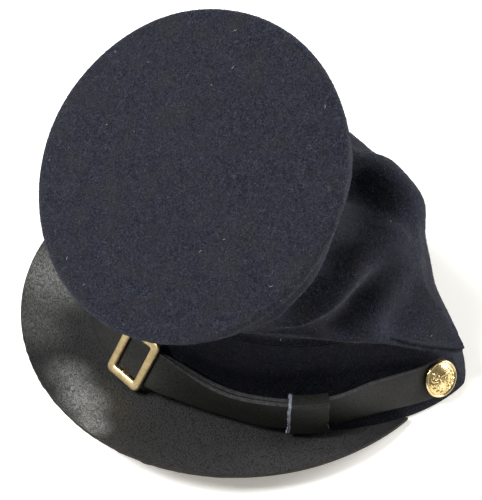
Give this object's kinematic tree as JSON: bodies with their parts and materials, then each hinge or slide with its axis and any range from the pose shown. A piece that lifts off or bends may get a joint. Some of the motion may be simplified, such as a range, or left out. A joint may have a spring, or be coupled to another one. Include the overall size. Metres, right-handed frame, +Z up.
{
  "type": "kepi cap",
  "caption": "Soft wool forage cap with a flopped crown, flat round top, leather peak and a buckled chin strap held by gilt buttons",
  "frame": {"origin": "the middle of the cap's bounding box on the surface it lies on", "axes": "+Z is up, the peak points along -Y, the wearer's left is +X"},
  "size_m": [0.204, 0.1774, 0.1357],
  "materials": {
    "wool": "dark blue fulled wool with a fine nap",
    "leather": "black grained leather with a satin sheen",
    "brass": "brushed brass, a little tarnished",
    "gilt": "bright gilt brass with raised relief"
  },
  "bodies": {
    "root": {"crown": "wool", "flat_top": "wool", "band": "wool", "peak": "leather", "strap_left": "leather", "strap_right": "leather", "strap_keeper": "leather", "buckle": "brass", "button_left": "gilt", "button_right": "gilt"}
  },
  "joints": []
}
